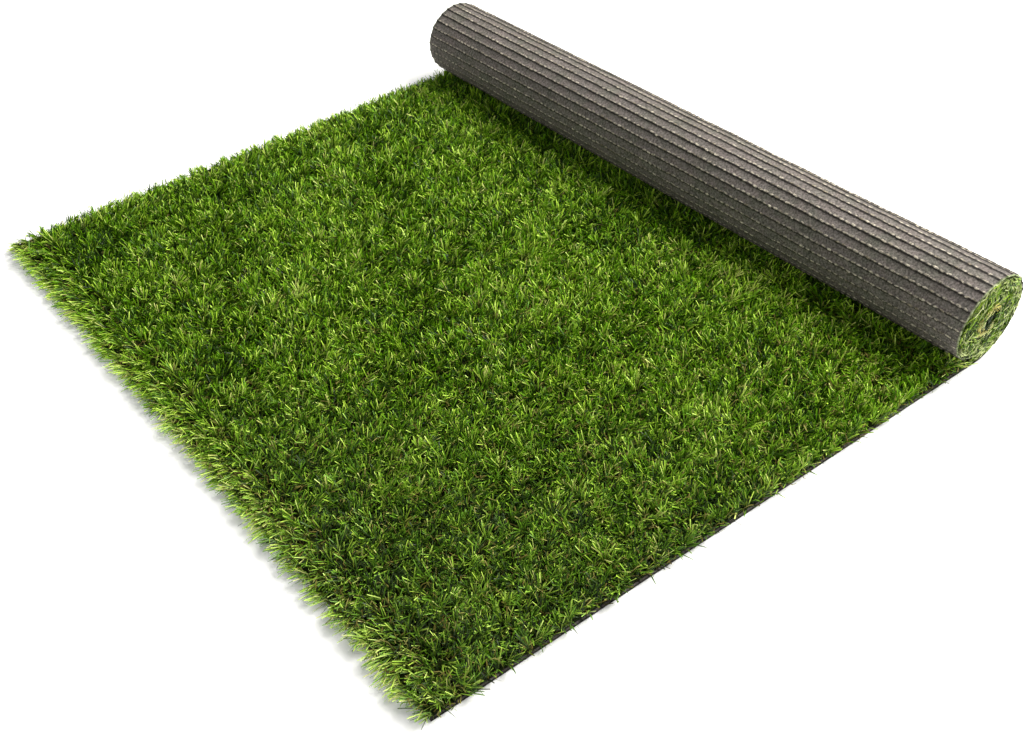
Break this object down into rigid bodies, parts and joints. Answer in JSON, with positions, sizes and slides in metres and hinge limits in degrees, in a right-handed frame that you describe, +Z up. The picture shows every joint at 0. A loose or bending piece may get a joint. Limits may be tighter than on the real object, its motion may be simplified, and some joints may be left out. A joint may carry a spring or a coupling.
{
  "type": "roll of artificial grass",
  "caption": "Tufted artificial grass mat, partly laid flat with its pile up and partly wound into a roll with its stitched back outside.",
  "frame": {"origin": "on the floor, under the middle of the object's box", "axes": "+X along the mat from its free end to the roll, +Y across the mat along the roll's axis, +Z up"},
  "size_m": [0.8724, 1, 0.121],
  "materials": {
    "backing": "woven sheet coated with dull grey latex, with rows of raised cream stitch backs",
    "grass": "satin green polyethylene blades in mixed greens over curly tan thatch"
  },
  "bodies": {
    "root": {"backing": "backing", "grass_pile": "grass"}
  },
  "joints": []
}
